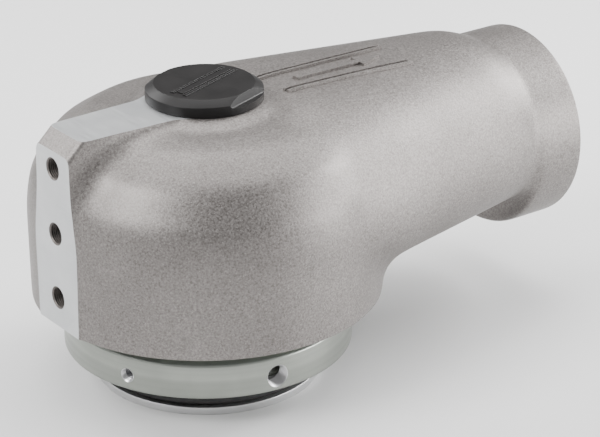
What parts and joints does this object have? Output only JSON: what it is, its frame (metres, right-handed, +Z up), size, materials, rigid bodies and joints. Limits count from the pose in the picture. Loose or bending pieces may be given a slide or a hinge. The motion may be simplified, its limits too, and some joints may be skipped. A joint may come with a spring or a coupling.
{
  "type": "breather valve",
  "caption": "Hooded tank breather valve with hose spigot, air-operated poppet, threaded air ports and a clamp ring.",
  "frame": {"origin": "centre of the lower flange's underside, on the valve's vertical axis", "axes": "+Z up along the valve's axis, +X out of the hose spigot"},
  "size_m": [0.2521, 0.154, 0.133],
  "materials": {
    "cast_aluminium": "sand cast, fine grained",
    "turned_aluminium": "fine turned, clear conversion coated",
    "black_plastic": "moulded, matte",
    "black_rubber": "moulded",
    "steel": "bright turned",
    "bronze": "turned"
  },
  "bodies": {
    "base": {"seat_body": "turned_aluminium", "spigot_oring": "black_rubber", "mounting_ring": "turned_aluminium", "grub_screws": "steel"},
    "hood": {"hood": "cast_aluminium", "neck_sleeve": "turned_aluminium", "neck_oring": "black_rubber", "rod_bush": "bronze", "rod_seal": "black_rubber", "seal_clip": "steel", "return_spring": "steel"},
    "valve": {"piston_rod": "steel", "piston": "turned_aluminium", "piston_seal": "black_rubber", "piston_nut": "steel", "poppet": "turned_aluminium", "poppet_seal": "black_rubber", "seal_retainer": "turned_aluminium", "retainer_screws": "steel", "relief_collar": "steel", "collar_clip": "steel", "relief_spring": "steel"},
    "relief": {"relief_plate": "steel", "relief_seal": "black_rubber"},
    "cap_seal": {"cap_seal": "black_rubber"},
    "cap": {"cylinder_cap": "black_plastic"}
  },
  "joints": [
    {"name": "hood_swivel", "type": "hinge", "parent": "base", "child": "hood", "pos_m": [0, 0, 0], "axis": [0, 0, 1], "continuous": true},
    {"name": "valve_stroke", "type": "slide", "parent": "hood", "child": "valve", "axis": [0, 0, -1], "range_m": [0, 0.02], "stiffness_N_per_m": 2000, "springref_m": -0.015, "deforming": ["return_spring"]},
    {"name": "relief_lift", "type": "slide", "parent": "valve", "child": "relief", "axis": [0, 0, 1], "range_m": [0, 0.004], "stiffness_N_per_m": 1500, "springref_m": -0.004, "deforming": ["relief_spring"]},
    {"name": "cap_lift", "type": "slide", "parent": "hood", "child": "cap_seal", "axis": [0, 0, 1], "range_m": [0, 0.0101]},
    {"name": "cap_turn", "type": "hinge", "parent": "cap_seal", "child": "cap", "pos_m": [0, 0, 0.1254], "axis": [0, 0, 1], "range_deg": [0, 1800]}
  ],
  "couplings": [
    {"joint": "cap_lift", "follows": "cap_turn", "m_per_rad": 0.00031831}
  ]
}
